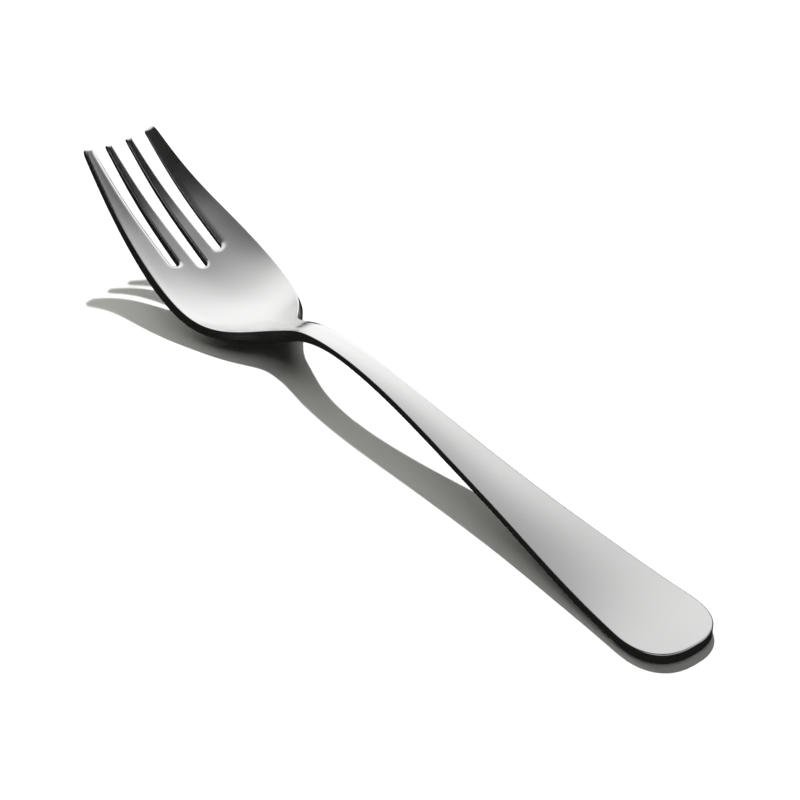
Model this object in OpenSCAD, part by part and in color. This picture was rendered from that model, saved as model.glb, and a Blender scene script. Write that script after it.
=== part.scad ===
// One-piece stainless steel table fork with four tines, stamped from one blank.
// X runs from the handle to the tines, Y across, Z up. It lies as on a table, tines up,
// and the origin is under the middle of its box. All sizes are millimetres.

/* [Handle] */
// Length from the handle's end to the root of the head
handle_length = 113; // [95:1:140]
// Widest place of the handle, near its end
handle_width = 18.2; // [14:0.1:24]
// Length over which the handle's end is rounded
end_round_length = 11.6; // [8:0.1:16]
// Fullness of the rounded end, where 2 is an ellipse and more is squarer
end_fullness = 2.4; // [2:0.1:3]
// Width of the neck, the narrowest place
neck_width = 5.1; // [4:0.1:8]
// Height of the handle's top at the arch behind the neck
arch_height = 11.9; // [9:0.1:16]
// Rise of the handle's top across its width
handle_crown = 0.3; // [0.1:0.05:0.6]
// Thickness at the handle's end
end_thickness = 2.4; // [1.8:0.1:3.2]
// Thickness half way along the handle
handle_thickness = 2.15; // [1.6:0.05:3]
// Thickness of the neck
neck_thickness = 2.8; // [2:0.1:4]
// What the handle gains in thickness from its edges to its middle
underside_crown = 0.3; // [0.1:0.05:0.6]
// What the neck gains in thickness from its edges to its middle
neck_crown = 0.7; // [0.3:0.05:1]

/* [Head] */
// Length from the root of the head to the tips of the tines
head_length = 67.5; // [58:0.5:80]
// Widest place of the head's rim, along the upper edges
head_width = 26.2; // [22:0.1:32]
// Depth of the dish from its rim to its middle
dish_depth = 2.2; // [1.2:0.1:3.5]
// Thickness of the dish
head_thickness = 2.2; // [1.6:0.1:3]
// What the dish gains in thickness from its rim to its middle
head_crown = 0.2; // [0:0.05:0.4]
// Height of the spine that runs from the neck into the dish
spine_height = 0.85; // [0.4:0.05:1.2]
// Width of the spine at the neck
spine_width = 5.4; // [4:0.1:7]
// Width of the spine where it sinks into the dish
spine_end_width = 3.2; // [2:0.1:5]
// Height of the tips' middle above the table
tip_height = 22.65; // [16:0.1:28]

/* [Tines] */
// Length from the outer slots' roots to the tips of the inner tines
tine_length = 29.1; // [22:0.1:34]
// How much shorter the two outer tines are
outer_tine_less = 0.3; // [0:0.1:2]
// How much deeper the middle slot is cut than the outer ones
middle_slot_extra = 2.3; // [0.5:0.1:5]
// Width of the outer slots at their roots
slot_root_width = 2.2; // [1.6:0.1:3]
// Width of the outer slots at the tips
slot_tip_width = 3.25; // [2.6:0.05:4.4]
// Width of the middle slot at its root
middle_root_width = 2.5; // [1.6:0.1:3.2]
// Width of the middle slot at the tips
middle_tip_width = 3.6; // [2.6:0.1:4.6]
// Width of the two inner tines at their roots
inner_tine_root = 3.05; // [2.2:0.05:4]
// Width of the two inner tines near their tips
inner_tine_tip = 1.4; // [0.9:0.05:2]
// Width of the two outer tines near their tips
outer_tine_tip = 2.4; // [1.4:0.05:3.2]
// Thickness at the tips
tip_thickness = 1.3; // [1:0.05:1.8]
// Length over which the sides that face a slot round off to the tip
inner_tip_round = 0.6; // [0.4:0.1:2]
// Length over which the outer sides of the outer tines round off to the tip
outer_tip_round = 1.8; // [1:0.1:5]

/* [Edges] */
// Radius of the upper edge along the outline
rim_edge_radius = 0.25; // [0.15:0.05:0.5]
// Width of the upper edges' rounding along the inner tines
inner_tine_edge = 0.5; // [0.2:0.05:0.6]
// Width of the upper edges' rounding along the slot sides of the outer tines
outer_tine_edge = 1.25; // [0.4:0.05:1.6]
// Length of the upper face's rounding at the tips
tip_edge = 0.9; // [0.3:0.1:1.5]
// Greatest depth of the upper face's roundings
edge_depth = 0.45; // [0.2:0.05:0.55]
// Radius of the edges of the underside
bottom_edge_radius = 0.4; // [0.2:0.05:0.5]
// Depth of the two flats that the fork rests on
rest_flat = 0.06; // [0.03:0.01:0.12]

/* [Fineness] */
// Rows of faces round the handle's end
end_rows = 7; // [5:1:10]
// Rows along the handle
handle_rows = 24; // [16:1:32]
// Rows along the dish
dish_rows = 24; // [16:1:30]
// Rows round each half of a slot's root
root_rows = 3; // [2:1:4]
// Rows along the tines
tine_rows = 13; // [8:1:18]
// Rows round the tips
tip_rows = 4; // [3:1:6]

/* [Hidden] */

total_length = handle_length + head_length;
outer_root = total_length - tine_length;
middle_root = outer_root - middle_slot_extra;
slot_root_radius = slot_root_width / 2;
middle_root_radius = middle_root_width / 2;
outer_centre_root = middle_root_width / 2 + inner_tine_root + slot_root_width / 2;
outer_centre_tip = middle_tip_width / 2 + inner_tine_tip + slot_tip_width / 2;
tip_half_span = outer_centre_tip + slot_tip_width / 2 + outer_tine_tip;
neck_half = neck_width / 2;
handle_half = handle_width / 2;
head_half = head_width / 2;
end_top = end_thickness - rest_flat;
dish_floor = head_thickness - rest_flat;

// Half width of the handle before its end is rounded:
// [share of the handle's length, share of the way from neck to widest]
handle_plan_shares = [[0, 1.122], [0.11, 0.967], [0.255, 0.737], [0.4, 0.469], [0.56, 0.237],
    [0.72, 0.06], [0.84, 0.002], [0.93, 0], [0.99, 0.004]];
// Half width of the head up to its widest place, in the same way
shoulder_plan_shares = [[0.04, 0.01], [0.085, 0.048], [0.113, 0.1], [0.14, 0.2], [0.167, 0.34],
    [0.194, 0.487], [0.221, 0.617], [0.261, 0.764], [0.33, 0.918], [0.436, 1]];
// Half width from the widest place to the tips:
// [share of the head's length, share of the way from the tips to widest]
tine_plan_shares = [[0.543, 0.95], [0.664, 0.745], [0.8, 0.434], [1, 0]];
// Height of the handle's top along its middle: [share of its length, share of the rise to the arch]
handle_rise_shares = [[0, 0], [0.08, 0.006], [0.143, 0.033], [0.255, 0.144], [0.4, 0.353],
    [0.56, 0.604], [0.72, 0.865], [0.863, 1], [0.92, 0.977]];
// Height of the dish's floor from the neck down to its lowest place:
// [share of the head's length, share of the drop from the arch]
neck_drop_shares = [[-0.06, 0.892], [0, 0.749], [0.06, 0.506], [0.105, 0.323], [0.15, 0.19],
    [0.195, 0.097], [0.25, 0.021], [0.297, 0]];
// Height of the dish's floor from its lowest place up to the tips, in the same way
tine_rise_shares = [[0.345, 0.012], [0.433, 0.081], [0.552, 0.22], [0.672, 0.369], [0.791, 0.554],
    [0.896, 0.761], [1, 1]];
// Depth of the dish along the head: [share of its length, share of the full depth]
dish_shares = [[-0.06, -0.07], [0, 0.09], [0.06, 0.36], [0.105, 0.545], [0.15, 0.645], [0.195, 0.727],
    [0.297, 0.886], [0.433, 1], [0.552, 1], [0.672, 0.91], [0.791, 0.818], [0.896, 0.77], [1, 0.75]];
// Height of the spine along the head, in the same way
spine_shares = [[-0.12, 0], [-0.06, 0.1], [0, 0.55], [0.05, 0.9], [0.09, 1], [0.13, 0.85], [0.165, 0.45],
    [0.205, 0.1], [0.25, 0]];
// Samples across the rounded edge, as shares of its width
edge_shares = [0, 0.3, 1];
// A rounded edge takes at most these shares of a narrow tine: of an inner one on either side,
// and of an outer one on its slot side and on its outer side
inner_edge_share = 0.45;
slot_edge_share = 0.6;
rim_edge_share = 0.25;
// What is left at the very tip of a tine's half towards a slot and towards the outline
tip_slot_share = 0.78;
tip_outer_share = 0.6;
// The head falls to its lowest place at this share of its length
lowest_share = 0.297;
// Points between the rounded edges on each of the four strips that end as tines
strip_points = [3, 1, 1, 3];
// Length ahead of a slot's root over which the samples close up to its edge
seam_run = 3 * slot_root_width;
// Rows closer together than this are merged
row_gap = bottom_edge_radius / 4;

function lerp(a, b, t) = a + (b - a) * t;
function smooth(t) = let (c = min(max(t, 0), 1)) c ^ 2 * (3 - 2 * c);
function map_points(shares, start, length, low, high) =
    [for (s = shares) [start + s[0] * length, lerp(low, high, s[1])]];

// A natural cubic spline: its points, and the second derivative at each
function spline_forward(h, s, i = 1, c = 0, d = 0, out = []) =
    i >= len(h) ? out :
    let (m = 2 * (h[i - 1] + h[i]) - h[i - 1] * c,
        c_next = h[i] / m,
        d_next = (6 * (s[i] - s[i - 1]) - h[i - 1] * d) / m)
    spline_forward(h, s, i + 1, c_next, d_next, concat(out, [[c_next, d_next]]));
function spline_back(steps, i, out) =
    i < 0 ? out : spline_back(steps, i - 1, concat([steps[i][1] - steps[i][0] * out[0]], out));
function spline(points) =
    let (n = len(points) - 1,
        h = [for (i = [0 : n - 1]) points[i + 1][0] - points[i][0]],
        s = [for (i = [0 : n - 1]) (points[i + 1][1] - points[i][1]) / h[i]],
        steps = spline_forward(h, s))
    [points, concat([0], spline_back(steps, len(steps) - 1, [0]))];
function span(points, x, i = 0) =
    i >= len(points) - 2 || x < points[i + 1][0] ? i : span(points, x, i + 1);
function spline_at(curve, x) =
    let (i = span(curve[0], x),
        p = curve[0][i],
        q = curve[0][i + 1],
        h = q[0] - p[0],
        a = (q[0] - x) / h,
        b = 1 - a)
    a * p[1] + b * q[1] + ((a ^ 3 - a) * curve[1][i] + (b ^ 3 - b) * curve[1][i + 1]) * h ^ 2 / 6;
function spline_slope(curve, x) =
    let (i = span(curve[0], x),
        p = curve[0][i],
        q = curve[0][i + 1],
        h = q[0] - p[0],
        a = (q[0] - x) / h,
        b = 1 - a)
    (q[1] - p[1]) / h + ((3 * b ^ 2 - 1) * curve[1][i + 1] - (3 * a ^ 2 - 1) * curve[1][i]) * h / 6;

// The curves that the fork is lofted from
plan_curve = spline(concat(
    map_points(handle_plan_shares, 0, handle_length, neck_half, handle_half),
    map_points(shoulder_plan_shares, handle_length, head_length, neck_half, head_half),
    map_points(tine_plan_shares, handle_length, head_length, tip_half_span, head_half)));
floor_curve = spline(concat(
    map_points(handle_rise_shares, 0, handle_length, end_top, arch_height),
    map_points(neck_drop_shares, handle_length, head_length, dish_floor, arch_height),
    map_points(tine_rise_shares, handle_length, head_length, dish_floor, tip_height)));
dish_curve = spline(concat(
    [[0, -handle_crown * 2 / 3], [handle_length / 2, -handle_crown], [handle_length * 5 / 6, -handle_crown]],
    map_points(dish_shares, handle_length, head_length, 0, dish_depth)));
spine_curve = spline(map_points(spine_shares, handle_length, head_length, 0, spine_height));
thickness_curve = spline([[0, end_thickness], [handle_length / 2, handle_thickness],
    [handle_length * 7 / 8, neck_thickness], [handle_length, neck_thickness],
    [handle_length + lowest_share * head_length, head_thickness], [outer_root, head_thickness],
    [total_length, tip_thickness]]);
underside_curve = spline([[0, underside_crown], [handle_length / 2, underside_crown],
    [handle_length * 7 / 8, neck_crown], [handle_length, neck_crown],
    [handle_length + lowest_share * head_length, head_crown], [outer_root, head_crown / 2],
    [total_length, 0]]);

// The plan's outline: the handle's end is a superellipse laid over the plan curve
function end_factor(x) =
    x >= end_round_length ? 1 : (1 - (1 - x / end_round_length) ^ end_fullness) ^ (1 / end_fullness);
function half_width(x) = spline_at(plan_curve, x) * end_factor(x);
// How far a sideways distance shrinks when it is measured square to the outline
function outline_cosine(x) =
    let (h = row_gap / 2,
        rise = (half_width(x + h) - half_width(max(x - h, 0))) / (h + min(x, h)))
    1 / sqrt(1 + rise ^ 2);

// Slots: half width at x, nought up to the root, a half circle and then straight sides
function slot_gap(x, root, radius, tip_gap) =
    let (centre = root + radius,
        straight = lerp(radius, tip_gap, max(x - centre, 0) / (total_length - centre)))
    x <= root ? 0 : x >= centre ? straight : sqrt(max(radius ^ 2 - (centre - x) ^ 2, 0));
function outer_centre(x) =
    x < outer_root ? outer_centre_root * half_width(x) / spline_at(plan_curve, outer_root) :
    lerp(outer_centre_root, outer_centre_tip, (x - outer_root) / tine_length);
function tip_factor(x, length, left) =
    let (t = (x - total_length + length) / length)
    t <= 0 ? 1 : lerp(left, 1, sqrt(max(1 - t ^ 2, 0)));

// The strips are numbered from the -Y side, and 1 and 2 end as the inner tines. A row at x
// lies at this place on strip k: the outer tines end a little before the inner ones
function is_inner(k) = k == 1 || k == 2;
function strip_place(x, k) =
    is_inner(k) ? x : x - outer_tine_less * smooth((x - outer_root) / tine_length);

// The two sides of strip k in row x, rounded to the tip
function strip_sides(x, k) =
    let (p = strip_place(x, k),
        inner = is_inner(k),
        centre = outer_centre(p),
        gap = slot_gap(p, outer_root, slot_root_radius, slot_tip_width / 2),
        middle = slot_gap(p, middle_root, middle_root_radius, middle_tip_width / 2),
        near = inner ? middle : centre + gap,
        far = inner ? centre - gap : half_width(p),
        axis = lerp(near, far, 1 / 2),
        blunt = tip_factor(x, inner_tip_round, tip_slot_share),
        slim = inner ? blunt : tip_factor(x, outer_tip_round, tip_outer_share),
        a = lerp(axis, near, blunt),
        b = lerp(axis, far, slim))
    k < 2 ? [-b, -a] : [a, b];

// Widths of the two upper edges of strip k in row x: beside the outer slot, and on the other
// side. Round the slot's root the first changes from one tine's width to the other's
function edge_widths(x, k) =
    let (sides = strip_sides(x, k),
        width = x < outer_root ? head_width : sides[1] - sides[0],
        beside = smooth((x - outer_root) / slot_root_radius),
        ahead = lerp(inner_tine_edge, outer_tine_edge, 1 / 2))
    is_inner(k) ?
        [min(lerp(ahead, inner_tine_edge, beside), width * inner_edge_share),
            min(inner_tine_edge, width * inner_edge_share)] :
        [min(lerp(ahead, outer_tine_edge, beside), width * slot_edge_share),
            min(rim_edge_radius, width * rim_edge_share)];

// Samples beside a border: close to an edge, and evenly spread along a seam far from its slot
function border_samples(x, root, reach, step) =
    let (nearness = smooth((x - root) / seam_run + 1),
        last = len(edge_shares) - 1)
    [for (i = [0 : last]) lerp(i * step, edge_shares[i] * reach, nearness)];

// Samples across strip k at x
borders = [0, outer_root, middle_root, outer_root, 0];
function strip_samples(x, k) =
    let (sides = strip_sides(x, k),
        width = sides[1] - sides[0],
        inner = is_inner(k),
        last = len(edge_shares) - 1,
        n = strip_points[k] + 1,
        edges = edge_widths(x, k),
        slot_reach = min(edges[0], width * (inner ? inner_edge_share : slot_edge_share)),
        side_reach = inner ? min(edges[1], width * inner_edge_share) :
            min(max(edges[1], bottom_edge_radius), width * rim_edge_share),
        step = width / (2 * last + n),
        slot_first = k == 1 || k == 3,
        low = border_samples(x, borders[k], slot_first ? slot_reach : side_reach, step),
        high = border_samples(x, borders[k + 1], slot_first ? side_reach : slot_reach, step))
    concat([for (d = low) sides[0] + d],
        [for (j = [1 : n - 1]) lerp(sides[0] + low[last], sides[1] - high[last], j / n)],
        [for (i = [last : -1 : 0]) sides[1] - high[i]]);

// Distance in plan to a slot's side, and round its root to the half circle
function root_distance(x, y, centre_y, root, radius, side_distance) =
    x >= root + radius ? side_distance : norm([x - root - radius, y - centre_y]) - radius;
// What a rounded edge takes away at a distance from it
function rounding(distance, width, depth) =
    distance >= width ? 0 : depth * (1 - sqrt(1 - (1 - max(distance, 0) / width) ^ 2));
// What all edges take away from the upper face and from the underside at y in row x of strip k
function edge_drops(x, y, k) =
    let (p = strip_place(x, k),
        sides = strip_sides(x, k),
        widths = edge_widths(x, k),
        low = y - sides[0],
        high = sides[1] - y,
        outer_slot = root_distance(p, y, outer_centre(p) * (k < 2 ? -1 : 1), outer_root, slot_root_radius,
            k == 0 || k == 2 ? high : low),
        side = is_inner(k) ? root_distance(x, y, 0, middle_root, middle_root_radius, k == 1 ? high : low) :
            outline_cosine(p) * (k == 0 ? low : high),
        tip = strip_place(total_length, k) - p)
    [max(rounding(outer_slot, widths[0], min(widths[0], edge_depth)),
            rounding(side, widths[1], min(widths[1], edge_depth)),
            rounding(tip, tip_edge, edge_depth)),
        rounding(min(outer_slot, side, tip), bottom_edge_radius, bottom_edge_radius)];

// Rise of the spine across its width, where v is nought in its middle and one at its side
function spine_bump(v) = abs(v) < 1 ? (1 - v ^ 4) ^ 2 : 0;
spine_start = handle_length + spine_shares[0][0] * head_length;
spine_end = handle_length + spine_shares[len(spine_shares) - 1][0] * head_length;

// What the surface needs at one row
function row_values(x) = [
    spline_at(floor_curve, x), spline_slope(floor_curve, x),
    spline_at(dish_curve, x), spline_slope(dish_curve, x),
    spline_at(plan_curve, x), spline_slope(plan_curve, x),
    x < spine_start || x > spine_end ? 0 : spline_at(spine_curve, x),
    spline_at(thickness_curve, x), spline_at(underside_curve, x),
    lerp(spine_width, spine_end_width, min(max((x - spine_start) / (spine_end - spine_start), 0), 1))];

// The two points on one normal at (x, y): on the upper face and on the underside. The face
// is crowned or dished across its width, and the spine is laid on top of it.
function skin_points(x, y, r, drops) =
    let (u = y / r[4],
        height = r[0] + r[2] * u ^ 2,
        rise_x = r[1] + r[3] * u ^ 2 - 2 * r[2] * u ^ 2 * r[5] / r[4],
        rise_y = 2 * r[2] * u / r[4],
        normal = [-rise_x, -rise_y, 1] / norm([rise_x, rise_y, 1]),
        thickness = r[7] - r[8] * u ^ 2,
        spine = [0, 0, r[6] * spine_bump(2 * y / r[9])],
        face = [x, y, height])
    [face + spine - normal * drops[0], face - normal * (thickness - drops[1])];

// Rows along X: the set places first, then the others where they keep clear of them
function sorted(v) =
    len(v) < 2 ? v :
    let (pivot = v[floor(len(v) / 2)])
    concat(sorted([for (x = v) if (x < pivot) x]), [for (x = v) if (x == pivot) x],
        sorted([for (x = v) if (x > pivot) x]));
function clear_of(x, places) = min([for (p = places) abs(x - p)]) > row_gap;
function thinned(v, i = 0, last = -1, out = []) =
    i >= len(v) ? out :
    len(out) > 0 && v[i] - last < row_gap ? thinned(v, i + 1, last, out) :
    thinned(v, i + 1, v[i], concat(out, [v[i]]));
function root_places(root, radius, reach) = [for (i = [-2 : root_rows])
    i < 0 ? root + i / 2 * reach : root + radius * (1 - cos(90 * i / root_rows))];

set_places = concat([0, middle_root, outer_root, total_length],
    [for (i = [1 : len(edge_shares) - 1]) total_length - edge_shares[i] * tip_edge]);
free_places = concat(
    [for (i = [1 : end_rows]) end_round_length * (1 - cos(90 * i / end_rows))],
    [for (i = [1 : handle_rows]) lerp(end_round_length, handle_length, i / handle_rows)],
    [for (i = [1 : dish_rows]) lerp(handle_length, middle_root - inner_tine_edge, (i / dish_rows) ^ (5 / 4))],
    root_places(middle_root, middle_root_radius, inner_tine_edge),
    root_places(outer_root, slot_root_radius, lerp(inner_tine_edge, outer_tine_edge, 1 / 2)),
    [for (i = [1 : tine_rows])
        lerp(outer_root + slot_root_radius, total_length - outer_tip_round, i / tine_rows)],
    [for (i = [1 : tip_rows]) total_length - outer_tip_round * cos(90 * i / (tip_rows + 1))],
    [for (i = [0 : tip_rows - 1]) total_length - inner_tip_round * cos(90 * i / tip_rows)]);
rows = sorted(concat(set_places,
    thinned(sorted([for (x = free_places) if (clear_of(x, set_places)) x]))));

// Points: row by row and strip by strip, the upper ones of a strip and then the lower ones
strip_counts = [for (n = strip_points) n + 2 * len(edge_shares)];
function strip_start(k) = k == 0 ? 0 : strip_start(k - 1) + 2 * strip_counts[k - 1];
row_size = strip_start(len(strip_counts));
raw_points = [for (x = rows)
    for (k = [0 : 3])
        let (p = strip_place(x, k),
            r = row_values(p),
            pairs = [for (y = strip_samples(x, k)) skin_points(p, y, r, edge_drops(x, y, k))])
        for (side = [0, 1]) for (p = pairs) p[side]];
low_x = min([for (p = raw_points) p[0]]);
high_x = max([for (p = raw_points) p[0]]);
fork_points = [for (p = raw_points) p - [(low_x + high_x) / 2, 0, 0]];

// Neighbouring strips share their border up to the slot's root, and the first row is one edge
function index(i, k, j, side) =
    i == 0 ? side * strip_counts[0] :
    k > 0 && j == 0 && rows[i] <= borders[k] ? index(i, k - 1, strip_counts[k - 1] - 1, side) :
    i * row_size + strip_start(k) + side * strip_counts[k] + j;
function quad(a, b, c, d) = [[a, b, c], [a, c, d]];

last_row = len(rows) - 1;
skin_faces = [for (i = [0 : last_row - 1]) for (k = [0 : 3]) for (j = [0 : strip_counts[k] - 2])
    for (f = concat(
        quad(index(i, k, j, 0), index(i, k, j + 1, 0), index(i + 1, k, j + 1, 0), index(i + 1, k, j, 0)),
        quad(index(i, k, j, 1), index(i + 1, k, j, 1), index(i + 1, k, j + 1, 1), index(i, k, j + 1, 1)))) f];
// Walls: the outline, and the sides of each slot from its root on
wall_faces = [for (i = [0 : last_row - 1]) for (k = [0 : 3]) for (end = [0, 1])
    let (border = k + end,
        j = end * (strip_counts[k] - 1),
        open = rows[i] >= borders[border])
    if (open) for (f = end == 0 ?
        quad(index(i, k, j, 0), index(i + 1, k, j, 0), index(i + 1, k, j, 1), index(i, k, j, 1)) :
        quad(index(i, k, j, 0), index(i, k, j, 1), index(i + 1, k, j, 1), index(i + 1, k, j, 0))) f];
tip_faces = [for (k = [0 : 3]) for (j = [0 : strip_counts[k] - 2])
    for (f = quad(index(last_row, k, j, 0), index(last_row, k, j + 1, 0),
        index(last_row, k, j + 1, 1), index(last_row, k, j, 1))) f];
fork_faces = [for (f = concat(skin_faces, wall_faces, tip_faces))
    if (f[0] != f[1] && f[1] != f[2] && f[0] != f[2]) f];

// The pressed blank, with a skin of triangles round it
module pressed_blank() {
    polyhedron(points = fork_points, faces = fork_faces, convexity = 8);
}

// Everything below the table, which the blank dips into by the depth of its two flats
module below_table() {
    translate([-total_length, -head_width, -head_width])
        cube([2 * total_length, 2 * head_width, head_width]);
}

module fork() {
    color("silver")
        difference() {
            pressed_blank();
            below_table();
        }
}

fork();
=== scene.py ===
import math

import bpy
import numpy as np
from bpy.props import FloatProperty, FloatVectorProperty, PointerProperty
from mathutils import Matrix, Vector


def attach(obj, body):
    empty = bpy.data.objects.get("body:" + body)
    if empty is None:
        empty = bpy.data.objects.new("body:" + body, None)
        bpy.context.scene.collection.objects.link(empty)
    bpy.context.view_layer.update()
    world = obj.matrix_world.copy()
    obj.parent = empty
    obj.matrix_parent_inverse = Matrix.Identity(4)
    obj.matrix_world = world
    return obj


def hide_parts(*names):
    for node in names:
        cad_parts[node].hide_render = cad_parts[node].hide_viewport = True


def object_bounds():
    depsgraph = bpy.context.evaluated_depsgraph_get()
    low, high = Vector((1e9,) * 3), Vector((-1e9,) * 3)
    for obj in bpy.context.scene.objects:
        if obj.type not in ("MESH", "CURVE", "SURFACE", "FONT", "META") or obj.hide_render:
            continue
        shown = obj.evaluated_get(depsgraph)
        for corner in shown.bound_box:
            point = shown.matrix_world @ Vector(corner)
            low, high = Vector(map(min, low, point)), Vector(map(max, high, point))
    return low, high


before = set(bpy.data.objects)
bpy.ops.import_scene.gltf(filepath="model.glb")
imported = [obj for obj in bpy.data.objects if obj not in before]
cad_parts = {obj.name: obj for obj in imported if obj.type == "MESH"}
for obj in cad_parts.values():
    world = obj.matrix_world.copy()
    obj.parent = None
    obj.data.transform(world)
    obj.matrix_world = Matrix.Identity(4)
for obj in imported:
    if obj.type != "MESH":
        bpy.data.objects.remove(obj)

bl_info = {
    "name": "Table Fork",
    "version": (1, 0, 0),
    "blender": (4, 5, 0),
    "location": "3D View > Sidebar > Fork",
    "description": "Builds a one-piece stainless steel table fork and a small studio round it",
    "category": "Add Mesh",
}

MM = 0.001
CAD_BOX = [list(corner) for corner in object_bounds()]


def length(name, description, default_mm):
    """A length, given in millimetres and kept in metres."""
    return FloatProperty(name=name, description=description, default=default_mm * MM,
                         unit="LENGTH", precision=5)


def number(name, description, default, unit="NONE"):
    """A plain number, such as a share or a strength."""
    return FloatProperty(name=name, description=description, default=default, unit=unit,
                         precision=3)


def colour(name, description, default):
    return FloatVectorProperty(name=name, description=description, default=default,
                               subtype="COLOR", size=3, min=0.0, max=1.0)


def angle(name, description, default_degrees):
    return FloatProperty(name=name, description=description,
                         default=math.radians(default_degrees), subtype="ANGLE")


def quarter(count):
    """Places from nought to one that lie close together at nought, as on a quarter circle."""
    return 1 - np.cos(np.linspace(0, math.pi / 2, count + 1))


# The fork's curves: share along a length, share of a width or height. The places along were
# chosen. The widths and heights there were worked out from curves that a least squares fit to
# the photo's outline gave. The crown, the dish and the spine were then chosen.
# Half width of the handle: share of its length, share of the way from neck to widest
HANDLE_PLAN = [(0, 1.122), (0.11, 0.967), (0.255, 0.737), (0.4, 0.469), (0.56, 0.237),
               (0.72, 0.06), (0.84, 0.002), (0.93, 0), (0.99, 0.004)]
# Half width of the head up to its widest place, in the same way
SHOULDER_PLAN = [(0.04, 0.01), (0.085, 0.048), (0.113, 0.1), (0.14, 0.2), (0.167, 0.34),
                 (0.194, 0.487), (0.221, 0.617), (0.261, 0.764), (0.33, 0.918), (0.436, 1)]
# Half width from there to the tips: share of the way from the tips' width to the widest
TINE_PLAN = [(0.543, 0.95), (0.664, 0.745), (0.8, 0.434), (1, 0)]
# Height of the handle's middle line: share of the rise to the arch
HANDLE_RISE = [(0, 0), (0.08, 0.006), (0.143, 0.033), (0.255, 0.144), (0.4, 0.353),
               (0.56, 0.604), (0.72, 0.865), (0.863, 1), (0.92, 0.977)]
# Height of the head's floor down to its lowest place: share of the drop from the arch
NECK_DROP = [(-0.06, 0.892), (0, 0.749), (0.06, 0.506), (0.105, 0.323), (0.15, 0.19),
             (0.195, 0.097), (0.25, 0.021), (0.297, 0)]
# Height of the head's floor from there up to the tips: share of the rise. It differs from the
# CAD model's by up to 0.15 mm, by what a fit to the steel's reflections gave.
TINE_RISE = [(0.345, 0.0105), (0.433, 0.0764), (0.552, 0.2128), (0.672, 0.3753),
             (0.791, 0.5572), (0.896, 0.76), (1, 1)]
# Crown of the handle's top: share of its full height
HANDLE_CROWN = [(0, 2 / 3), (1 / 2, 1), (5 / 6, 1)]
# Depth of the dish along the head: share of its full depth
DISH = [(-0.06, -0.07), (0, 0.09), (0.06, 0.36), (0.105, 0.545), (0.15, 0.645),
        (0.195, 0.727), (0.297, 0.886), (0.433, 1), (0.552, 1), (0.672, 0.91),
        (0.791, 0.818), (0.896, 0.77), (1, 0.75)]
# Height of the spine along the head: share of its full height
SPINE = [(-0.12, 0), (-0.06, 0.1), (0, 0.55), (0.05, 0.9), (0.09, 1), (0.13, 0.85),
         (0.165, 0.45), (0.205, 0.1), (0.25, 0)]
# The head is lowest at this share of its length
LOWEST = 0.297
# The neck's full thickness begins at this share of the handle's length
NECK_START = 7 / 8
# What is left at the very tip of a tine's half towards a slot and towards the outline
TIP_SLOT_LEFT, TIP_OUTER_LEFT = 0.78, 0.6
# A rounded edge takes at most these shares of a narrow tine: of an inner one on either side,
# and of an outer one on its slot side and on its outer side
INNER_LIMIT, SLOT_LIMIT, RIM_LIMIT = 0.45, 0.6, 0.25

# Columns of the mesh across one rounded edge, as equal turns of a quarter circle
EDGE_STEPS = 6
EDGE_SHARES = quarter(EDGE_STEPS)
# Intervals between the two rounded edges of an inner and of an outer tine
INNER_STEPS, OUTER_STEPS = 5, 9
# Intervals along the fork: round the handle's end, along the handle, on to the middle slot's
# root, between the slots' roots, round a root, along the tines, round an outer and an inner tip
END_STEPS, HANDLE_STEPS, HEAD_STEPS, ROOTS_STEPS = 44, 95, 149, 11
ARC_STEPS, TINE_STEPS, OUTER_TIP_STEPS, INNER_TIP_STEPS = 9, 51, 18, 12
# The handle's rows end at this share of its length, and closer ones begin
CLOSE_ROWS_START = 5 / 6
# Rows that would lie closer together than this are made one
ROW_GAP = 0.07 * MM
# Points of the mesh that are set against the whole outline at a time
POINTS_AT_A_TIME = 4000
# Smallest square of a length that is divided by
TINY = 1e-18

# The lengthwise grain's share in the steel's wear. Soft clouds make up the rest.
GRAIN_SHARE = 0.6
# Levels of wear at which the steel has its darkest and its brightest tone
DARKEST_WEAR, BRIGHTEST_WEAR = 0.3, 0.7
# Strength of a panel where it glows in full: the steel shows it as nearly white
GLOW = 1.13
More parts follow.
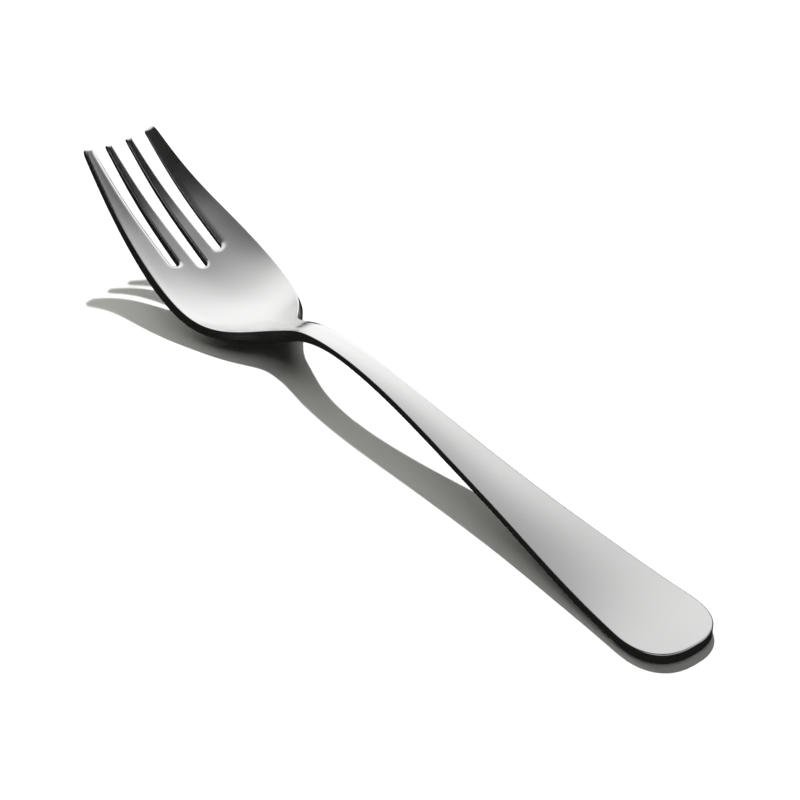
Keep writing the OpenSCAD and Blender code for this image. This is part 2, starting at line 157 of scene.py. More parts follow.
# The glowing panels round the fork, in metres and degrees. Each faces along (azimuth,
# elevation), its sides are (left, right, bottom, top) in its own plane, and its soft edges
# are (angle, start, stop). The softbox's place and four of its edges, and the side card's first
# two edges, came from a least squares fit to the steel's tones in the photo, and the rest was
# set one by one. The last three light the sides that the photo doesn't show.
PANELS = [
    dict(name="softbox", setting="softbox_brightness", centre=(0.086, 0.0486, 0.157),
         facing=(209.45, -17.37), sides=(-0.6, 1.3, -0.25, 1.2),
         edges=[(126.5, -0.293, 0.196), (157.6, -0.048, 0.004), (-79.9, 0.14, 0.18),
                (-47.1, -0.46, 0.62), (240.9, -0.012, 0.164), (219, 0.03, 0.07)]),
    dict(name="low_box", setting="low_box_brightness", centre=(0, -0.11, 0),
         facing=(90, 0), sides=(-0.26, 0, -0.02, 0.13),
         edges=[(180, 0.2, 0.24), (0, -0.072, -0.045), (104, 0.1035, 0.1225), (-90, 0, 0.012)]),
    dict(name="side_card", setting="card_brightness", centre=(0, -0.5, 0),
         facing=(90, 0), sides=(-1.2, 0.2, 0.1, 1.6),
         edges=[(62.3, 0.357, 0.708), (0, -0.69, 0.102), (-90, -0.3, -0.2)]),
    dict(name="rear_box", setting="side_brightness", centre=(-1, 0, 0.1),
         facing=(0, 0), sides=(-1.5, 1.5, 0, 1.3),
         edges=[(0, 0.9, 1.4), (180, 0.9, 1.4), (90, 0.6, 1.2), (-90, -0.2, -0.05)]),
    dict(name="right_box", setting="side_brightness", centre=(-0.3, 0.3, 0.2),
         facing=(-90, 0), sides=(-0.35, 0.35, -0.25, 0.35),
         edges=[(0, 0.16, 0.2), (180, 0.2, 0.35), (90, 0.15, 0.35), (-90, 0.04, 0.1)]),
    dict(name="left_box", setting="side_brightness", centre=(-0.3, -0.3, 0.2),
         facing=(90, 0), sides=(-0.35, 0.35, -0.25, 0.35),
         edges=[(180, 0.21, 0.25), (0, 0.2, 0.35), (90, 0.15, 0.35), (-90, 0.04, 0.1)]),
]
# Towards the light that casts the shadow, and the middles of the two soft lights
KEY_DIRECTION = (0.86, -0.62, 1)
TOP_FILL_PLACE = (0.2, -0.4, 1.2)
LOW_FILL_PLACE = (1.1, -0.4, 0.38)
# The camera's place, and its directions to the right and up, which like its focal length came
# from the fit to the photo's outline
CAMERA_PLACE = (-0.29932, 0.2315, 0.275)
CAMERA_RIGHT, CAMERA_UP = (-0.6224, -0.7827, 0), (0.4559, -0.3625, 0.8129)
SENSOR_WIDTH = 36
NEAREST, FARTHEST = 0.01, 20
# The table lies this little below the fork, so that their faces don't meet
TABLE_GAP = 0.01 * MM
# Flat sides of the round backdrop, and how far it reaches below the table
BACKDROP_SIDES = 64
BACKDROP_BELOW = 1 / 8


class ForkSizes(bpy.types.PropertyGroup):
    """The fork's driving sizes, as the CAD model has them."""

    handle_length: length("Handle length", "From the handle's end to the head's root", 113)
    handle_width: length("Handle width", "Widest place of the handle", 18.2)
    end_round_length: length("End rounding", "Length over which the end is rounded", 11.6)
    end_fullness: number("End fullness", "2 is an ellipse and more is squarer", 2.4)
    neck_width: length("Neck width", "The narrowest place", 5.1)
    arch_height: length("Arch height", "Height of the handle's top behind the neck", 11.9)
    handle_crown: length("Handle crown", "Rise of the handle's top across it", 0.3)
    end_thickness: length("End thickness", "Thickness at the handle's end", 2.4)
    handle_thickness: length("Handle thickness", "Thickness half way along the handle", 2.15)
    neck_thickness: length("Neck thickness", "Thickness of the neck", 2.8)
    underside_crown: length("Underside crown", "What the handle gains to its middle", 0.3)
    neck_crown: length("Neck crown", "What the neck gains to its middle", 0.7)
    head_crown: length("Head crown", "What the dish gains from its rim to its middle", 0.2)
    head_length: length("Head length", "From the head's root to the tips", 67.5)
    head_width: length("Head width", "Widest place of the head's rim", 26.2)
    dish_depth: length("Dish depth", "From the rim to the middle of the dish", 2.2)
    head_thickness: length("Head thickness", "Thickness of the dish", 2.2)
    spine_height: length("Spine height", "Spine from the neck into the dish", 0.85)
    spine_width: length("Spine width", "Width of the spine at the neck", 5.4)
    spine_end_width: length("Spine end width", "Width of the spine where it sinks away", 3.2)
    tip_height: length("Tip height", "Height of the tips' middle above the table", 22.65)
    tine_length: length("Tine length", "From the outer slots' roots to the tips", 29.1)
    outer_tine_less: length("Outer tines less", "How much shorter the outer tines are", 0.3)
    middle_slot_extra: length("Middle slot extra", "How much deeper the middle slot is", 2.3)
    slot_root_width: length("Slot root width", "Width of the outer slots' roots", 2.2)
    slot_tip_width: length("Slot tip width", "Width of the outer slots at the tips", 3.25)
    middle_root_width: length("Middle root width", "Width of the middle slot's root", 2.5)
    middle_tip_width: length("Middle tip width", "Width of the middle slot at the tips", 3.6)
    inner_tine_root: length("Inner tine root", "Width of an inner tine at its root", 3.05)
    inner_tine_tip: length("Inner tine tip", "Width of an inner tine near its tip", 1.4)
    outer_tine_tip: length("Outer tine tip", "Width of an outer tine near its tip", 2.4)
    tip_thickness: length("Tip thickness", "Thickness at the tips", 1.3)
    inner_tip_round: length("Inner tip rounding", "Of the tines' sides that face a slot", 0.6)
    outer_tip_round: length("Outer tip rounding", "Of the outer tines' outer sides", 1.8)
    rim_edge: length("Rim edge", "Radius of the upper edge along the outline", 0.25)
    inner_tine_edge: length("Inner tine edge", "Width of the inner tines' upper edges", 0.5)
    outer_tine_edge: length("Outer tine edge", "Width of the outer tines' slot edges", 1.25)
    tip_edge: length("Tip edge", "Length of the upper face's rounding at the tips", 0.9)
    edge_depth: length("Edge depth", "Greatest depth of the upper face's edges", 0.45)
    bottom_edge: length("Bottom edge", "Radius of the underside's edges", 0.4)
    rest_flat: length("Rest flat", "Depth of the two flats that the fork rests on", 0.06)


class SteelFinish(bpy.types.PropertyGroup):
    """The polished steel's colour and grain."""

    tint: colour("Tint", "Colour of the steel's reflection", (0.86, 0.86, 0.855))
    roughness: number("Roughness", "Roughness of the polished faces", 0.22)
    grain: number("Grain", "Strength of the fine lengthwise grain", 0.06)
    grain_width: length("Grain width", "Spacing of the grain's lines", 0.16)
    grain_length: length("Grain length", "Length of the grain's lines", 7)
    grain_depth: length("Grain depth", "Depth of the grain's lines", 0.01)
    cloud_scale: number("Cloud scale", "How many soft clouds of wear lie along a metre", 90.0)
    unevenness: number("Unevenness", "How much the roughness varies with the wear", 0.12)
    shade: number("Shade", "Brightness of the least worn places, as a share of the tint", 0.97)


class StudioSettings(bpy.types.PropertyGroup):
    """The floor, the lights and the camera."""

    floor_colour: colour("Floor", "Colour of the table", (0.92, 0.92, 0.915))
    floor_size: length("Floor size", "Side of the table", 6000)
    sun_strength: number("Sun strength", "Light that casts the shadow", 4.8)
    sun_angle: angle("Sun size", "Apparent size of the light that casts the shadow", 2.0)
    top_fill_power: number("Top fill", "Soft light from above", 3.2, "POWER")
    top_fill_size: length("Top fill size", "Across the round soft light above", 1600)
    low_fill_power: number("Low fill", "Soft light from beyond the tines", 15.5, "POWER")
    low_fill_width: length("Low fill width", "Width of the light beyond the tines", 1600)
    low_fill_height: length("Low fill height", "Height of the light beyond the tines", 600)
    fill_colour: colour("Fill colour", "Colour of the light in the shadow", (1.0, 1.0, 0.94))
    softbox_brightness: number("Softbox", "Brightness of the large softbox", 3.02)
    low_box_brightness: number("Low box", "Brightness of the low box by the tines", 1.0)
    card_brightness: number("Side card", "Brightness of the dim card beside the fork", 0.57)
    side_brightness: number("Side boxes", "Brightness of the boxes for the other sides", 0.6)
    room: colour("Room", "Colour of the dark room that the steel mirrors",
                 (0.0105, 0.0105, 0.0098))
    lens: number("Lens", "Focal length on a sensor 36 mm wide", 106.02, "CAMERA")


def natural_spline(points):
    """A natural cubic spline through the points: a function of x that gives value and slope."""
    x, y = np.array(points, float).T
    h, count = np.diff(x), len(x)
    steep = np.diff(y) / h
    system, known = np.eye(count), np.zeros(count)
    for i in range(1, count - 1):
        system[i, i - 1:i + 2] = h[i - 1], 2 * (h[i - 1] + h[i]), h[i]
        known[i] = 6 * (steep[i] - steep[i - 1])
    bend = np.linalg.solve(system, known)

    def at(place):
        i = np.clip(np.searchsorted(x, place, side="right") - 1, 0, count - 2)
        a = (x[i + 1] - place) / h[i]
        b = 1 - a
        value = (a * y[i] + b * y[i + 1]
                 + ((a ** 3 - a) * bend[i] + (b ** 3 - b) * bend[i + 1]) * h[i] ** 2 / 6)
        slope = (steep[i]
                 + ((3 * b ** 2 - 1) * bend[i + 1] - (3 * a ** 2 - 1) * bend[i]) * h[i] / 6)
        return value, slope

    return at


def mix(a, b, t):
    """The value at a share t of the way from a to b."""
    return a + (b - a) * t


def smooth(t):
    """An even step from nought to one."""
    t = np.clip(t, 0, 1)
    return t * t * (3 - 2 * t)


class ForkForm:
    """The fork's surface over its plan, where x is measured from the handle's end."""

    def __init__(self, s):
        self.s = s
        self.total = s.handle_length + s.head_length
        self.outer_root = self.total - s.tine_length
        self.middle_root = self.outer_root - s.middle_slot_extra
        self.centre_root = s.middle_root_width / 2 + s.inner_tine_root + s.slot_root_width / 2
        self.centre_tip = s.middle_tip_width / 2 + s.inner_tine_tip + s.slot_tip_width / 2
        neck, handle, head = s.neck_width / 2, s.handle_width / 2, s.head_width / 2
        tips = self.centre_tip + s.slot_tip_width / 2 + s.outer_tine_tip
        end_top = s.end_thickness - s.rest_flat
        low = s.head_thickness - s.rest_flat
        lowest = s.handle_length + LOWEST * s.head_length

        def on_handle(shares, a, b):
            return [(at * s.handle_length, mix(a, b, part)) for at, part in shares]

        def on_head(shares, a, b):
            return [(s.handle_length + at * s.head_length, mix(a, b, part))
                    for at, part in shares]

        self.plan = natural_spline(on_handle(HANDLE_PLAN, neck, handle)
                                   + on_head(SHOULDER_PLAN, neck, head)
                                   + on_head(TINE_PLAN, tips, head))
        self.floor = natural_spline(on_handle(HANDLE_RISE, end_top, s.arch_height)
                                    + on_head(NECK_DROP, low, s.arch_height)
                                    + on_head(TINE_RISE, low, s.tip_height))
        self.dish = natural_spline(on_handle(HANDLE_CROWN, 0, -s.handle_crown)
                                   + on_head(DISH, 0, s.dish_depth))
        self.spine_reach = [s.handle_length + SPINE[i][0] * s.head_length for i in (0, -1)]
        self.spine = natural_spline(on_head(SPINE, 0, s.spine_height))
        neck_start = s.handle_length * NECK_START
        self.thickness = natural_spline([
            (0, s.end_thickness), (s.handle_length / 2, s.handle_thickness),
            (neck_start, s.neck_thickness), (s.handle_length, s.neck_thickness),
            (lowest, s.head_thickness), (self.outer_root, s.head_thickness),
            (self.total, s.tip_thickness)])
        self.underside = natural_spline([
            (0, s.underside_crown), (s.handle_length / 2, s.underside_crown),
            (neck_start, s.neck_crown), (s.handle_length, s.neck_crown),
            (lowest, s.head_crown), (self.outer_root, s.head_crown / 2), (self.total, 0)])

    def half_width(self, x):
        """Half width of the whole plan: a superellipse at the handle's end, then the curve."""
        s = self.s
        t = np.clip(1 - x / s.end_round_length, 0, 1)
        return self.plan(x)[0] * (1 - t ** s.end_fullness) ** (1 / s.end_fullness)

    def slot_centre(self, x):
        """Middle of the outer slot, and ahead of it the seam that leads to its root."""
        ahead = self.centre_root * self.half_width(x) / self.plan(self.outer_root)[0]
        inside = mix(self.centre_root, self.centre_tip,
                     (x - self.outer_root) / self.s.tine_length)
        return np.where(x < self.outer_root, ahead, inside)

    def slot_gap(self, x, root, radius, tip_gap):
        """Half width of a slot: nought up to its root, a half circle, then straight sides."""
        arc_centre = root + radius
        arc = np.sqrt(np.maximum(radius ** 2 - (arc_centre - x) ** 2, 0))
        straight = mix(radius, tip_gap, (x - arc_centre) / (self.total - arc_centre))
        return np.where(x <= root, 0, np.where(x < arc_centre, arc, straight))

    def tip_factor(self, x, span, left):
        """What is left of a tine's half width where its tip is rounded over a span."""
        t = np.clip((x - self.total + span) / span, 0, 1)
        return mix(left, 1, np.sqrt(1 - t * t))

    def outer_place(self, x):
        """Where a row lies on the outer tines, which end a little before the inner ones."""
        s = self.s
        ahead = np.maximum(x - self.outer_root, 0) / s.tine_length
        return x - s.outer_tine_less * smooth(ahead)

    def strips(self, x):
        """Near and far sides of the inner and of the outer tine's strip, of the +Y half."""
        s = self.s
        root, tip = s.slot_root_width / 2, s.slot_tip_width / 2
        place = self.outer_place(x)
        middle = self.slot_gap(x, self.middle_root, s.middle_root_width / 2,
                               s.middle_tip_width / 2)
        inner_near = middle
        inner_far = self.slot_centre(x) - self.slot_gap(x, self.outer_root, root, tip)
        outer_near = self.slot_centre(place) + self.slot_gap(place, self.outer_root, root, tip)
        outer_far = self.half_width(place)
        inner_axis = mix(inner_near, inner_far, 1 / 2)
        outer_axis = mix(outer_near, outer_far, 1 / 2)
        blunt = self.tip_factor(x, s.inner_tip_round, TIP_SLOT_LEFT)
        slim = self.tip_factor(x, s.outer_tip_round, TIP_OUTER_LEFT)
        return (mix(inner_axis, inner_near, blunt), mix(inner_axis, inner_far, blunt),
                mix(outer_axis, outer_near, blunt), mix(outer_axis, outer_far, slim))

    def edge_widths(self, x, strips):
        """Widths of the upper edges: of an inner tine towards the middle slot and towards the
        outer one, of an outer tine towards its slot, and of the rim. Round an outer slot's
        root the width changes smoothly from one side to the other."""
        s = self.s
        inner, outer = strips[1] - strips[0], strips[3] - strips[2]
        beside = smooth((x - self.outer_root) / (s.slot_root_width / 2))
        ahead = mix(s.inner_tine_edge, s.outer_tine_edge, 1 / 2)
        below = mix(ahead, s.inner_tine_edge, beside)
        above = mix(ahead, s.outer_tine_edge, beside)
        slotted = x >= self.outer_root
        return (np.where(x < self.middle_root, s.inner_tine_edge,
                         np.minimum(s.inner_tine_edge, INNER_LIMIT * inner)),
                np.where(slotted, np.minimum(below, INNER_LIMIT * inner), ahead),
                np.where(slotted, np.minimum(above, SLOT_LIMIT * outer), ahead),
                np.where(slotted, np.minimum(s.rim_edge, RIM_LIMIT * outer), s.rim_edge))

    def slot_columns(self, x, side, centre, away, root, radius, edge, spread):
        """Columns beside a slot. They run along its edge at the distances of the edge's
        shares, bend round its root, and spread out evenly ahead of it."""
        arc_centre = root + radius
        reach = edge[:, None] * EDGE_SHARES
        arc = np.maximum((radius + reach) ** 2 - (arc_centre - x[:, None]) ** 2, 0)
        free = (smooth((arc_centre - x) / (2 * radius)) * spread)[:, None]
        free = free * np.linspace(0, 1, EDGE_STEPS + 1)
        bent = centre[:, None] + away * np.sqrt(arc + free ** 2)
        return np.where(x[:, None] < arc_centre, bent, side[:, None] + away * reach)

    def columns(self, x):
        """Places across the +Y half at each row, for the inner and for the outer strip."""
        s = self.s
        strips = self.strips(x)
        inner_near, inner_far, outer_near, outer_far = strips
        middle_edge, inner_edge, outer_edge, rim_edge = self.edge_widths(x, strips)
        place, zero = self.outer_place(x), np.zeros_like(x)
        inner_centre, outer_centre = self.slot_centre(x), self.slot_centre(place)
        inner, outer = inner_far - inner_near, outer_far - outer_near
        slope = np.gradient(outer_far, x)
        rim_reach = np.maximum(rim_edge, s.bottom_edge) * np.sqrt(1 + slope ** 2)
        rim = np.minimum(rim_reach, RIM_LIMIT * outer)
        inner_spread = inner * EDGE_STEPS / (2 * EDGE_STEPS + INNER_STEPS)
        outer_spread = outer * EDGE_STEPS / (2 * EDGE_STEPS + OUTER_STEPS)
        middle = self.slot_columns(x, inner_near, zero, 1, self.middle_root,
                                   s.middle_root_width / 2, middle_edge, inner_spread)
        below = self.slot_columns(x, inner_far, inner_centre, -1, self.outer_root,
                                  s.slot_root_width / 2, inner_edge, inner_spread)
        above = self.slot_columns(place, outer_near, outer_centre, 1, self.outer_root,
                                  s.slot_root_width / 2, outer_edge, outer_spread)
        border = outer_far[:, None] - rim[:, None] * EDGE_SHARES

        def filled(low, high, steps):
            between = np.linspace(0, 1, steps + 1)[1:-1]
            across = mix(low[:, -1:], high[:, -1:], between)
            return np.hstack([low, across, high[:, ::-1]])

        return filled(middle, below, INNER_STEPS), filled(above, border, OUTER_STEPS)

    def rows(self):
        """Places along the fork, closer together where it bends more."""
        s = self.s
        slot_edge = mix(s.inner_tine_edge, s.outer_tine_edge, 1 / 2)
        ahead = EDGE_SHARES[1:] * slot_edge
        close_start = s.handle_length * CLOSE_ROWS_START
        tines_start = self.outer_root + s.slot_root_width / 2
        places = np.concatenate([
            s.bottom_edge * EDGE_SHARES[1:] / 2, s.end_round_length * quarter(END_STEPS)[1:],
            np.linspace(s.end_round_length, close_start, HANDLE_STEPS + 1),
            np.linspace(close_start, self.middle_root - slot_edge, HEAD_STEPS + 1),
            self.middle_root - ahead, self.outer_root - ahead,
            np.linspace(self.middle_root - slot_edge, self.outer_root, ROOTS_STEPS + 1),
            self.middle_root + s.middle_root_width / 2 * quarter(ARC_STEPS)[1:],
            self.outer_root + s.slot_root_width / 2 * quarter(ARC_STEPS)[1:],
            np.linspace(tines_start, self.total - s.outer_tip_round, TINE_STEPS + 1),
            self.total - s.outer_tip_round * (1 - quarter(OUTER_TIP_STEPS)),
            self.total - s.inner_tip_round * (1 - quarter(INNER_TIP_STEPS)),
            self.total - s.tip_edge * EDGE_SHARES[1:]])
        chosen = [0, self.middle_root, self.outer_root, self.total]
        for place in sorted(places):
            if min(abs(place - other) for other in chosen) > ROW_GAP:
                chosen.append(place)
        return np.array(sorted(chosen))

    def outline(self, x):
        """The +Y half's outline as a chain of points (x, y) from the handle's end round the
        tines to the middle slot's root, with the upper and lower edges' widths there."""
        strips = self.strips(x)
        inner_near, inner_far, outer_near, outer_far = strips
        middle, inner, outer, rim = self.edge_widths(x, strips)
        slots, mid = x >= self.outer_root, x >= self.middle_root
        place = self.outer_place(x)
        chain = [(place, outer_far, rim),
                 (place[slots][::-1], outer_near[slots][::-1], outer[slots][::-1]),
                 (x[slots], inner_far[slots], inner[slots]),
                 (x[mid][::-1], inner_near[mid][::-1], middle[mid][::-1])]
        return np.hstack([np.array(part) for part in chain]).T

    def edge_drops(self, x, y, chain):
        """How far the rounded edges take away from the upper face and from the underside."""
        s = self.s
        a, b = chain[:-1], chain[1:]
        along = b[:, :2] - a[:, :2]
        size = np.maximum((along ** 2).sum(1), TINY)
        px_all, py_all = x.ravel(), y.ravel()
        drop, lift = np.zeros(len(px_all)), np.zeros(len(px_all))
        ends = [self.outer_place(self.total), self.total]
        parts = 1 + len(px_all) // POINTS_AT_A_TIME
        for part in np.array_split(np.arange(len(px_all)), parts):
            px, py = px_all[part][:, None], py_all[part][:, None]
            t = ((px - a[:, 0]) * along[:, 0] + (py - a[:, 1]) * along[:, 1]) / size
            t = np.clip(t, 0, 1)
            away = np.hypot(px - a[:, 0] - t * along[:, 0], py - a[:, 1] - t * along[:, 1])
            width = mix(a[:, 2], b[:, 2], t)
            near = np.clip(1 - away / width, 0, 1)
            depth = np.minimum(width, s.edge_depth)
            drop[part] = (depth * (1 - np.sqrt(1 - near ** 2))).max(1)
            near = np.clip(1 - away / s.bottom_edge, 0, 1)
            lift[part] = (s.bottom_edge * (1 - np.sqrt(1 - near ** 2))).max(1)
        outer = py_all > self.slot_centre(px_all)
        tip = np.where(outer, *ends) - px_all
        near = np.clip(1 - tip / s.tip_edge, 0, 1)
        drop = np.maximum(drop, s.edge_depth * (1 - np.sqrt(1 - near ** 2)))
        return drop.reshape(x.shape), lift.reshape(x.shape)

    def skin(self, x, y, chain):
        """Points of the upper face and of the underside over the plan's points (x, y)."""
        s = self.s
        floor, floor_slope = self.floor(x)
        dish, dish_slope = self.dish(x)
        plan, plan_slope = self.plan(x)
        inside = (x > self.spine_reach[0]) & (x < self.spine_reach[1])
        spine = np.where(inside, self.spine(x)[0], 0)
        away = (x - self.spine_reach[0]) / (self.spine_reach[1] - self.spine_reach[0])
        width = mix(s.spine_width, s.spine_end_width, np.clip(away, 0, 1))
        spine = spine * self.spine_bump(2 * y / width)
        u = y / plan
        rise_x = floor_slope + dish_slope * u ** 2 - 2 * dish * u ** 2 * plan_slope / plan
        normal = np.stack([-rise_x, -2 * dish * u / plan, np.ones_like(x)], -1)
        normal /= np.linalg.norm(normal, axis=-1, keepdims=True)
        face = np.stack([x, y, floor + dish * u ** 2], -1)
        drop, lift = self.edge_drops(x, np.abs(y), chain)
        depth = self.thickness(x)[0] - self.underside(x)[0] * u ** 2 - lift
        upper = face - normal * drop[..., None]
        upper[..., 2] += spine
        lower = face - normal * depth[..., None]
        return upper, lower

    def spine_bump(self, v):
        """The spine's height from side to side, where v is -1 and 1 at its sides."""
        return (1 - np.clip(v, -1, 1) ** 4) ** 2


def fork_mesh(sizes):
    """Vertices and faces of the whole fork: an upper and a lower skin, lofted row by row over
    four strips that part at the slots' roots, and walls between them."""
    form = ForkForm(sizes)
    x = form.rows()
    inner, outer = form.columns(x)
    inner[0], outer[0] = 0, 0
    across = np.hstack([-outer[:, ::-1], -inner[:, ::-1], inner, outer])
    counts = [outer.shape[1], inner.shape[1], inner.shape[1], outer.shape[1]]
    starts = np.cumsum([0] + counts)
    on_outer = np.broadcast_to(form.outer_place(x)[:, None], outer.shape)
    on_inner = np.broadcast_to(x[:, None], inner.shape)
    along = np.hstack([on_outer, on_inner, on_inner, on_outer])
    upper, lower = form.skin(along, across, form.outline(x))
    lower[..., 2] = np.maximum(lower[..., 2], 0)

    rows, size = across.shape
    top = np.arange(rows * size).reshape(rows, size)
    # The strips' borders from side to side, each with the place from which on it is open
    roots = [None, form.outer_root, form.middle_root, form.outer_root, None]
    for k in (1, 2, 3):
        joined = x <= roots[k]
        top[joined, starts[k]] = top[joined, starts[k] - 1]
    top[0] = top[0, 0]
    bottom = top + rows * size

    quads = []
    for k in range(4):
        a, b = starts[k], starts[k + 1]
        t, u = top[:, a:b], bottom[:, a:b]
        quads.append((t[:-1, :-1], t[1:, :-1], t[1:, 1:], t[:-1, 1:]))
        quads.append((u[:-1, :-1], u[:-1, 1:], u[1:, 1:], u[1:, :-1]))
        quads.append((t[-1, :-1], u[-1, :-1], u[-1, 1:], t[-1, 1:]))
        for end, column in ((0, 0), (1, -1)):
            border = roots[k + end]
            first = 0 if border is None else int(np.searchsorted(x, border))
            t_side, u_side = t[first:, column], u[first:, column]
            loop = (t_side[:-1], u_side[:-1], u_side[1:], t_side[1:])
            quads.append(loop if end == 0 else loop[::-1])
    faces = np.concatenate([np.stack([q.ravel() for q in quad], 1) for quad in quads])

    points = np.concatenate([upper.reshape(-1, 3), lower.reshape(-1, 3)])
    used, compact = np.unique(faces, return_inverse=True)
    points, faces = points[used], compact.reshape(faces.shape)
    points[:, 0] -= (points[:, 0].min() + points[:, 0].max()) / 2
    points = np.clip(points, *CAD_BOX)
    rings = []
    for face in faces.tolist():
        ring = [v for i, v in enumerate(face) if v != face[i - 1]]
        if len(ring) > 2:
            rings.append(ring)
    return points, rings


class Socket:
    """A node's output that can be added, multiplied and so on to make Math nodes."""

    def __init__(self, tree, output):
        self.tree, self.output = tree, output

    def _math(self, operation, *values):
        return self.tree.node("ShaderNodeMath", {"operation": operation},
                              {i: value for i, value in enumerate(values)})

    def __add__(self, other):
        return self._math("ADD", self, other)

    def __radd__(self, other):
        return self._math("ADD", other, self)

    def __sub__(self, other):
        return self._math("SUBTRACT", self, other)

    def __rsub__(self, other):
        return self._math("SUBTRACT", other, self)

    def __mul__(self, other):
        return self._math("MULTIPLY", self, other)

    def __rmul__(self, other):
        return self._math("MULTIPLY", other, self)


class Tree:
    """A node tree that is filled through one method."""

    def __init__(self, node_tree):
        self.nodes, self.links = node_tree.nodes, node_tree.links
        self.nodes.clear()

    def node(self, kind, settings=None, inputs=None, output=0):
        """Add a node of a type with its settings, then the values or links of its sockets."""
        made = self.nodes.new(kind)
        for name, value in (settings or {}).items():
            if name == "ramp":
                elements = made.color_ramp.elements
                while len(elements) < len(value):
                    elements.new(0.5)
                for element, (place, tone) in zip(elements, value):
                    element.position, element.color = place, (*tone, 1)
            else:
                setattr(made, name, value)
        for name, value in (inputs or {}).items():
            if isinstance(value, Socket):
                self.links.new(value.output, made.inputs[name])
            else:
                made.inputs[name].default_value = value
        return Socket(self, made.outputs[output]) if made.outputs else made


def steel(finish):
    """Stainless steel, machine polished along its length: fine lines and soft clouds of wear
    change its tone and roughness a little."""
    material = bpy.data.materials.new("polished_steel")
    material.use_nodes = True
    tree = Tree(material.node_tree)
    place = tree.node("ShaderNodeTexCoord", output="Object")
    lines = tree.node("ShaderNodeMapping", {"vector_type": "POINT"}, {
        "Vector": place,
        "Scale": (1 / finish.grain_length, 1 / finish.grain_width, 1 / finish.grain_width)})
    grain = tree.node("ShaderNodeTexNoise", {}, {"Vector": lines, "Scale": 1.0, "Detail": 3.0,
                                                 "Roughness": 0.6})
    cloud = tree.node("ShaderNodeTexNoise", {}, {
        "Vector": place, "Scale": finish.cloud_scale, "Detail": 2.0})
    wear = grain * GRAIN_SHARE + cloud * (1 - GRAIN_SHARE)
    bump = tree.node("ShaderNodeBump", {}, {
        "Strength": finish.grain, "Distance": finish.grain_depth, "Height": grain})
    dark = [part * finish.shade for part in finish.tint]
    tone = tree.node("ShaderNodeValToRGB", {
        "ramp": [(DARKEST_WEAR, dark), (BRIGHTEST_WEAR, list(finish.tint))]}, {"Fac": wear})
    roughness = (wear - 0.5) * finish.unevenness + finish.roughness
    tree.node("ShaderNodeOutputMaterial", {}, {"Surface": tree.node(
        "ShaderNodeBsdfPrincipled", {}, {
            "Base Color": tone, "Metallic": 1.0, "Roughness": roughness, "Normal": bump})})
    return material


def new_object(name, points, faces, material, place=None):
    mesh = bpy.data.meshes.new(name)
    mesh.from_pydata([tuple(point) for point in points], [], faces)
    mesh.materials.append(material)
    mesh.polygons.foreach_set("use_smooth", [True] * len(mesh.polygons))
    mesh.validate()
    made = bpy.data.objects.new(name, mesh)
    bpy.context.scene.collection.objects.link(made)
    if place is not None:
        made.matrix_world = place
    return made


def plain(name, base, roughness, glow=0.0):
    """A plain matt material, which may glow white."""
    material = bpy.data.materials.new(name)
    material.use_nodes = True
    tree = Tree(material.node_tree)
    inputs = {"Base Color": (*base, 1), "Roughness": roughness, "Specular IOR Level": 0.0}
    if glow:
        inputs["Emission Color"] = (1, 1, 1, 1)
        inputs["Emission Strength"] = glow
    tree.node("ShaderNodeOutputMaterial", {}, {"Surface": tree.node(
        "ShaderNodeBsdfPrincipled", {}, inputs)})
    return material


class TABLEFORK_OT_fork(bpy.types.Operator):
    """Loft the fork as one smooth steel body in place of its CAD solid"""
    bl_idname = "table_fork.fork"
    bl_label = "Fork"

    def execute(self, context):
        scene = context.scene
        points, faces = fork_mesh(scene.fork_sizes)
        fork = new_object("table_fork", points, faces, steel(scene.fork_steel))
        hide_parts("fork")
        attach(fork, "root")
        return {"FINISHED"}


def glow_with_edges(name, brightness, edges):
    """A material that glows and fades out past each soft edge (angle, start, stop): at that
    angle in the panel's own plane, from start to stop. Where it doesn't glow it is clear."""
    material = bpy.data.materials.new(name)
    material.use_nodes = True
    tree = Tree(material.node_tree)
    place = tree.node("ShaderNodeTexCoord", output="Object")
    across, high = (tree.node("ShaderNodeSeparateXYZ", {}, {"Vector": place}, output=axis)
                    for axis in "XY")
    level = brightness
    for degrees, start, stop in edges:
        turn = math.radians(degrees)
        level = tree.node("ShaderNodeMapRange", {"interpolation_type": "SMOOTHSTEP"}, {
            "Value": across * math.cos(turn) + high * math.sin(turn),
            "From Min": start, "From Max": stop, "To Min": 1.0, "To Max": 0.0}) * level
    level = tree.node("ShaderNodeMath", {"operation": "MINIMUM"}, {0: level, 1: 1.0})
    tree.node("ShaderNodeOutputMaterial", {}, {"Surface": tree.node("ShaderNodeMixShader", {}, {
        0: level, 1: tree.node("ShaderNodeBsdfTransparent"),
        2: tree.node("ShaderNodeEmission", {}, {"Strength": GLOW})})})
    material.cycles.emission_sampling = "NONE"
    return material


def glowing_panel(studio, name, setting, centre, facing, sides, edges):
    """A glowing panel that only shiny things see."""
    azimuth, elevation = (math.radians(part) for part in facing)
    out = Vector((math.cos(elevation) * math.cos(azimuth),
                  math.cos(elevation) * math.sin(azimuth), math.sin(elevation)))
    side = Vector((0, 0, 1)).cross(out).normalized()
    left, right, bottom, top = sides
    corners = [(left, bottom, 0), (right, bottom, 0), (right, top, 0), (left, top, 0)]
    panel = new_object(name, corners, [(0, 1, 2, 3)],
                       glow_with_edges(name, getattr(studio, setting), edges),
                       placed(centre, side, out.cross(side), out))
    panel.visible_camera = panel.visible_diffuse = panel.visible_shadow = False


def placed(centre, right, up, out):
    """A place at the centre whose axes are the three directions."""
    return Matrix.Translation(Vector(centre)) @ Matrix((right, up, out)).transposed().to_4x4()


def pointing(direction, at=(0, 0, 0)):
    """A place whose -Z axis looks against the direction."""
    return Matrix.Translation(Vector(at)) @ Vector(direction).to_track_quat(
        "Z", "Y").to_matrix().to_4x4()


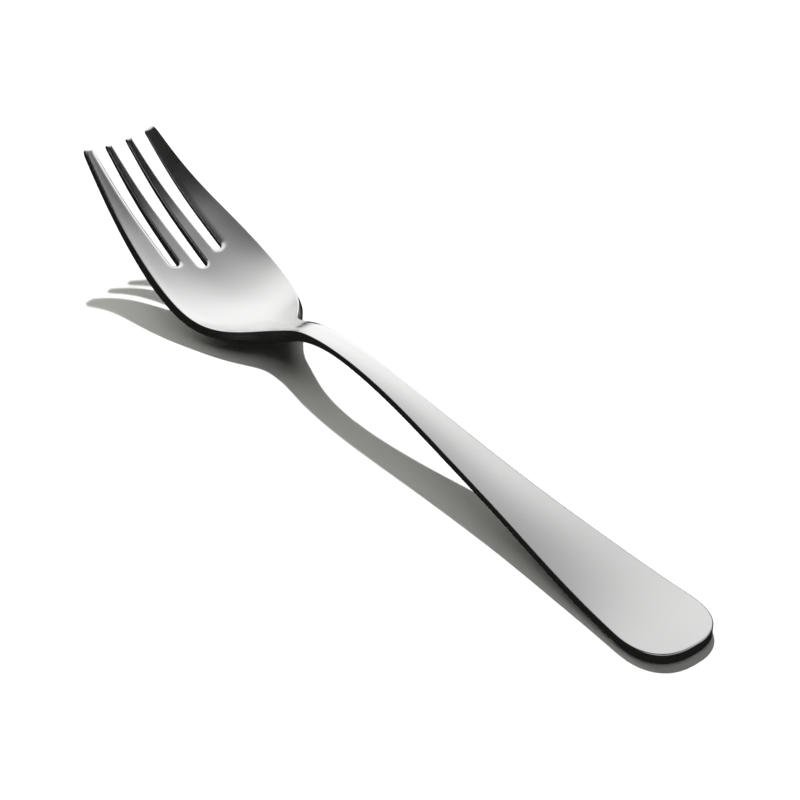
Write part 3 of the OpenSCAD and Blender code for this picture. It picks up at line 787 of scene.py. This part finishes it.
def light(name, kind, place, **settings):
    """A light that lights the table and casts shadows, and that the steel doesn't mirror."""
    data = bpy.data.lights.new(name, kind)
    for key, value in settings.items():
        setattr(data, key, value)
    made = bpy.data.objects.new(name, data)
    made.matrix_world = place
    made.visible_glossy = False
    bpy.context.scene.collection.objects.link(made)


def table(studio):
    """A white table that the steel doesn't mirror."""
    half = studio.floor_size / 2
    corners = [(-half, -half, 0), (half, -half, 0), (half, half, 0), (-half, half, 0)]
    made = new_object("table", corners, [(0, 1, 2, 3)],
                      plain("table_white", studio.floor_colour, roughness=0.9),
                      Matrix.Translation((0, 0, -TABLE_GAP)))
    made.visible_glossy = False


def backdrop(studio):
    """A white wall all round, which only the camera sees."""
    half, count = studio.floor_size / 2, BACKDROP_SIDES
    turns = np.linspace(0, 2 * math.pi, count + 1)[:-1]
    ring = [(half * math.cos(turn), half * math.sin(turn)) for turn in turns]
    points = [(x, y, z) for z in (-half * BACKDROP_BELOW, half) for x, y in ring]
    faces = [(i, (i + 1) % count, count + (i + 1) % count, count + i) for i in range(count)]
    made = new_object("backdrop", points, faces,
                      plain("backdrop_white", (0, 0, 0), roughness=1.0, glow=1.0))
    made.visible_glossy = made.visible_diffuse = made.visible_shadow = False


def dark_room(scene, studio):
    """The dark room beyond the panels, which only the steel sees."""
    world = bpy.data.worlds.new("studio_dark")
    world.use_nodes = True
    tree = Tree(world.node_tree)
    tree.node("ShaderNodeOutputWorld", {}, {"Surface": tree.node(
        "ShaderNodeBackground", {}, {"Color": (*studio.room, 1), "Strength": 1.0})})
    scene.world = world
    world.cycles_visibility.diffuse = False


def camera(studio):
    """The camera, where the photo was taken from."""
    data = bpy.data.cameras.new("camera")
    data.sensor_width, data.lens = SENSOR_WIDTH, studio.lens
    data.clip_start, data.clip_end = NEAREST, FARTHEST
    made = bpy.data.objects.new("camera", data)
    right, up = Vector(CAMERA_RIGHT).normalized(), Vector(CAMERA_UP).normalized()
    made.matrix_world = placed(CAMERA_PLACE, right, up, right.cross(up))
    bpy.context.scene.collection.objects.link(made)
    return made


class TABLEFORK_OT_studio(bpy.types.Operator):
    """Make the table, the backdrop, the lights and the camera"""
    bl_idname = "table_fork.studio"
    bl_label = "Studio"

    def execute(self, context):
        scene = context.scene
        studio = scene.fork_studio
        table(studio)
        backdrop(studio)
        light("key", "SUN", pointing(KEY_DIRECTION), energy=studio.sun_strength,
              angle=studio.sun_angle)
        light("top_fill", "AREA", pointing((0, 0, 1), TOP_FILL_PLACE), shape="DISK",
              energy=studio.top_fill_power, size=studio.top_fill_size, color=studio.fill_colour)
        light("low_fill", "AREA", pointing(LOW_FILL_PLACE, LOW_FILL_PLACE), shape="RECTANGLE",
              energy=studio.low_fill_power, size=studio.low_fill_width,
              size_y=studio.low_fill_height, color=studio.fill_colour)
        for panel in PANELS:
            glowing_panel(studio, **panel)
        dark_room(scene, studio)
        scene.camera = camera(studio)
        scene.view_settings.view_transform = "Standard"
        return {"FINISHED"}


class TABLEFORK_PT_panel(bpy.types.Panel):
    """Sizes, finish and studio of the fork"""
    bl_label = "Table Fork"
    bl_space_type = "VIEW_3D"
    bl_region_type = "UI"
    bl_category = "Fork"

    def draw(self, context):
        layout = self.layout
        for operator in OPERATORS:
            layout.operator(operator.bl_idname)
        for group in (context.scene.fork_sizes, context.scene.fork_steel,
                      context.scene.fork_studio):
            box = layout.box()
            for name in group.__annotations__:
                box.prop(group, name)


OPERATORS = (TABLEFORK_OT_fork, TABLEFORK_OT_studio)
CLASSES = (ForkSizes, SteelFinish, StudioSettings, *OPERATORS, TABLEFORK_PT_panel)


def register():
    for item in CLASSES:
        bpy.utils.register_class(item)
    bpy.types.Scene.fork_sizes = PointerProperty(type=ForkSizes)
    bpy.types.Scene.fork_steel = PointerProperty(type=SteelFinish)
    bpy.types.Scene.fork_studio = PointerProperty(type=StudioSettings)


def unregister():
    del bpy.types.Scene.fork_sizes, bpy.types.Scene.fork_steel, bpy.types.Scene.fork_studio
    for item in reversed(CLASSES):
        bpy.utils.unregister_class(item)


def main():
    register()
    bpy.ops.table_fork.fork()
    bpy.ops.table_fork.studio()
    bpy.context.view_layer.update()


if __name__ == "__main__":
    main()
